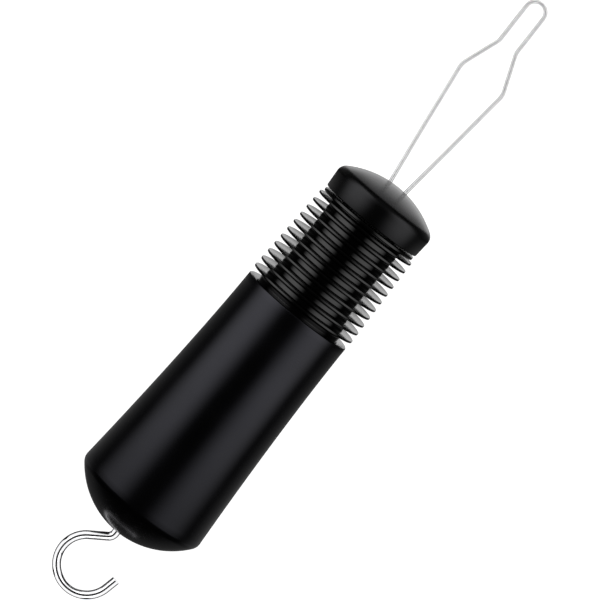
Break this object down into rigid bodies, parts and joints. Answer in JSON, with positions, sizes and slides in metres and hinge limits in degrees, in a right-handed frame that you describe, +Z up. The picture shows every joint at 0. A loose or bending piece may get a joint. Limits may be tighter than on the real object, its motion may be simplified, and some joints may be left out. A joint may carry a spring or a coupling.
{
  "type": "button hook and zip pull",
  "caption": "Dressing aid: a thick flared grip with a ribbed section, a thin wire button loop with a narrow neck at one end and an open wire zip hook at the other.",
  "frame": {"origin": "on the table under the middle of the whole object's box; the tool lies on its side, resting on the barrel's and the cap's shoulders", "axes": "+X along the tool towards the button loop, +Y towards the side where the zip hook's wire leaves the axis, +Z up from the table"},
  "size_m": [0.201, 0.0386, 0.0386],
  "materials": {
    "barrel_rubber": "satin soft-touch",
    "sleeve_elastomer": "gloss moulded",
    "cap_rubber": "satin soft-touch",
    "core_plastic": "moulded",
    "loop_steel": "bright drawn wire",
    "hook_steel": "bright drawn wire",
    "ferrule_metal": "plain crimped"
  },
  "bodies": {
    "root": {"barrel": "barrel_rubber", "rib_sleeve": "sleeve_elastomer", "end_cap": "cap_rubber", "core_spindle": "core_plastic", "tail_plug": "core_plastic", "loop_plug": "core_plastic", "loop_ferrule_left": "ferrule_metal", "loop_ferrule_right": "ferrule_metal", "button_loop": "loop_steel", "zip_hook": "hook_steel"}
  },
  "joints": []
}
